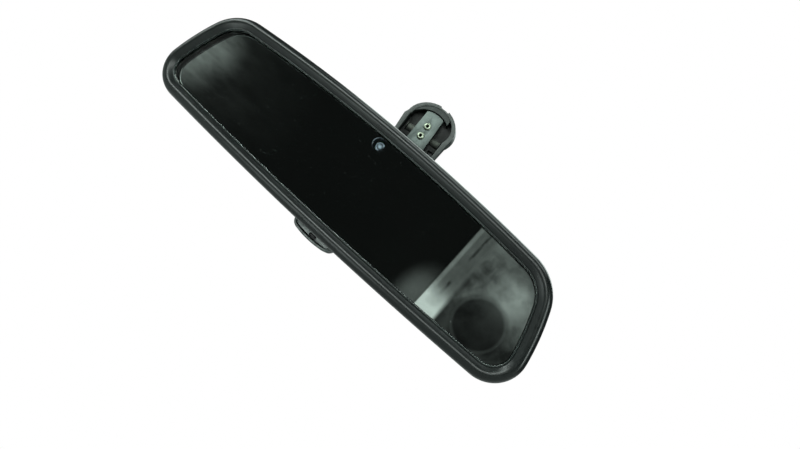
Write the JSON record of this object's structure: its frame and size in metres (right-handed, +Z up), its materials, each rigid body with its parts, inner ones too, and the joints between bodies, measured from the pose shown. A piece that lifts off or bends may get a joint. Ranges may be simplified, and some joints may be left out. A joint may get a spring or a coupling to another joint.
{
  "type": "auto-dimming interior rearview mirror",
  "caption": "Car interior rearview mirror with a rounded trapezoid bezel, auto-dimming glass, ball joint and a clip-in windscreen foot.",
  "frame": {"origin": "a point on the foot's flat mounting rim, near the top of the rim", "axes": "+X along the mirror's length, -Y the way the glass and the foot's mounting face look in this pose, +Z up"},
  "size_m": [0.2479, 0.0696, 0.1121],
  "materials": {
    "bezel_plastic": "satin black",
    "housing_plastic": "fine-grained black",
    "foot_plastic": "worn dark grey-black",
    "carrier_plastic": "unpainted moulded",
    "front_glass": "polished, edge ground",
    "reflector": "front-surface mirror coating",
    "seal": "matte",
    "foam": "open foam with adhesive",
    "contact_metal": "bright plated",
    "rivet_metal": "bright pale",
    "steel": "zinc plated",
    "spring_steel": "dull rolled",
    "cast_metal": "die cast",
    "aluminium_can": "satin",
    "board": "solder mask",
    "chip": "moulded epoxy",
    "clear_lens": "moulded clear",
    "smoked_lens": "smoked, glossy",
    "led": "moulded",
    "liner": "low-friction moulded"
  },
  "bodies": {
    "foot": {"foot_shell": "foot_plastic", "arm_cover": "housing_plastic", "ball_stud": "steel", "stud_washer": "steel", "stud_nut": "steel", "spring_plate": "spring_steel", "button_clip": "spring_steel", "hollow_rivet_1": "rivet_metal", "hollow_rivet_2": "rivet_metal"},
    "tilt_liner": {"ball_liner_rear": "liner"},
    "swivel_liner": {"ball_liner_front": "liner"},
    "head": {"bezel": "bezel_plastic", "front_glass": "front_glass", "cell_seal": "seal", "rear_glass": "reflector", "upper_contact_clip": "contact_metal", "lower_contact_clip": "contact_metal", "foam_pad": "foam", "carrier_plate": "carrier_plastic", "circuit_board": "board", "board_screw_1": "steel", "board_screw_2": "steel", "sensor_boot": "seal", "glare_sensor": "clear_lens", "forward_sensor": "clear_lens", "forward_light_guide": "smoked_lens", "controller_chip": "chip", "driver_transistor": "chip", "smoothing_capacitor": "aluminium_can", "plug_socket": "carrier_plastic", "plug_pin_1": "contact_metal", "plug_pin_2": "contact_metal", "plug_pin_3": "contact_metal", "plug_pin_4": "contact_metal", "rear_housing": "housing_plastic", "indicator_lens": "smoked_lens", "indicator_led": "led", "socket_base": "cast_metal", "socket_retainer": "carrier_plastic", "preload_washer": "steel", "socket_screw_1": "steel", "socket_screw_2": "steel", "socket_screw_3": "steel", "socket_screw_4": "steel"}
  },
  "joints": [
    {"name": "head_tilt", "type": "hinge", "parent": "foot", "child": "tilt_liner", "pos_m": [0.00922, -0.032, -0.07097], "axis": [1, 0, 0], "range_deg": [-15, 15]},
    {"name": "head_swivel", "type": "hinge", "parent": "tilt_liner", "child": "swivel_liner", "pos_m": [0.00922, -0.032, -0.07097], "axis": [0, 0, 1], "range_deg": [-20, 20]},
    {"name": "head_roll", "type": "hinge", "parent": "swivel_liner", "child": "head", "pos_m": [0.00922, -0.032, -0.07097], "axis": [0, 1, 0], "range_deg": [-25, 15]}
  ]
}
